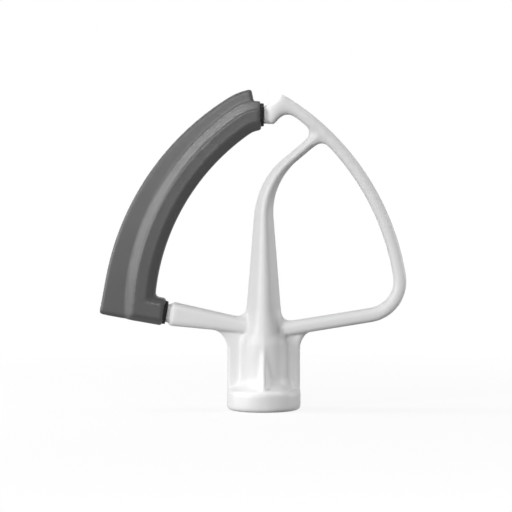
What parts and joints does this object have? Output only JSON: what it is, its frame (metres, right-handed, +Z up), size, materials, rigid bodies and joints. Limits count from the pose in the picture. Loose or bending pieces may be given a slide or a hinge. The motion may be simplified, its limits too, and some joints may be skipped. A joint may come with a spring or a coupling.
{
  "type": "stand mixer flat beater",
  "caption": "White coated flat beater for a stand mixer, with a bent centre shaft, a curved open frame, a drive hub with a locking slot and a grey flexible wiping edge along one side.",
  "frame": {"origin": "on the hub axis, in the plane of the hub's flat end where the drive bore opens", "axes": "+Z up along the hub axis into the beater, -Z out of the drive bore, -X towards the wiping edge, -Y towards the front"},
  "size_m": [0.1354, 0.0326, 0.1413],
  "materials": {
    "white_coating": "smooth glossy white coating on a metal casting",
    "dark_plastic": "dark satin moulding",
    "grey_silicone": "soft matt grey silicone"
  },
  "bodies": {
    "root": {"beater_frame": "white_coating", "edge_carrier": "dark_plastic", "flex_edge": "grey_silicone"}
  },
  "joints": []
}
